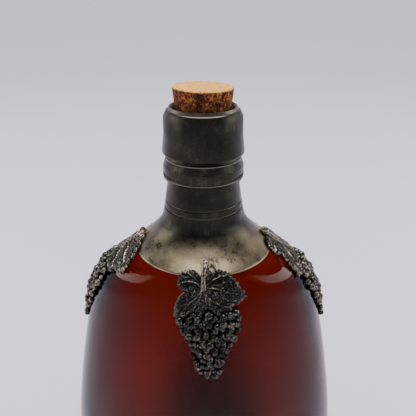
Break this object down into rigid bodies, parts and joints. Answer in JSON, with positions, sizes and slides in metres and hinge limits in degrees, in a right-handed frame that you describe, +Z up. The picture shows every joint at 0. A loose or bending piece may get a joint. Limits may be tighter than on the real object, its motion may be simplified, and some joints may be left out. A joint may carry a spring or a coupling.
{
  "type": "corked glass bottle",
  "caption": "Oval amber glass bottle with a spun pewter neck mount, cast grape bunches over its shoulders and a tapered cork that lifts out.",
  "frame": {"origin": "middle of the base, on the surface the bottle stands on", "axes": "+Z up along the neck, +X along the wide way of the oval, -Y towards the front flat face"},
  "size_m": [0.1266, 0.066, 0.2289],
  "materials": {
    "amber_glass": "clear moulded amber-brown glass, fire-polished",
    "worn_pewter": "spun pewter with a dark oxidised patina, satin",
    "cast_pewter": "cast pewter, blackened recesses with rubbed high points",
    "cork": "natural ground cork, matt",
    "plaster": "matt cast plaster"
  },
  "bodies": {
    "bottle": {"glass_bottle": "amber_glass", "plaster_bedding": "plaster", "neck_sleeve": "worn_pewter", "collar_ring": "worn_pewter", "mouth_band": "worn_pewter", "front_grape_casting": "cast_pewter", "back_grape_casting": "cast_pewter", "left_grape_casting": "cast_pewter", "right_grape_casting": "cast_pewter"},
    "cork": {"cork_stopper": "cork"}
  },
  "joints": [
    {"name": "cork_lift", "type": "slide", "parent": "bottle", "child": "cork", "axis": [0, 0, 1], "range_m": [0, 0.035]}
  ]
}
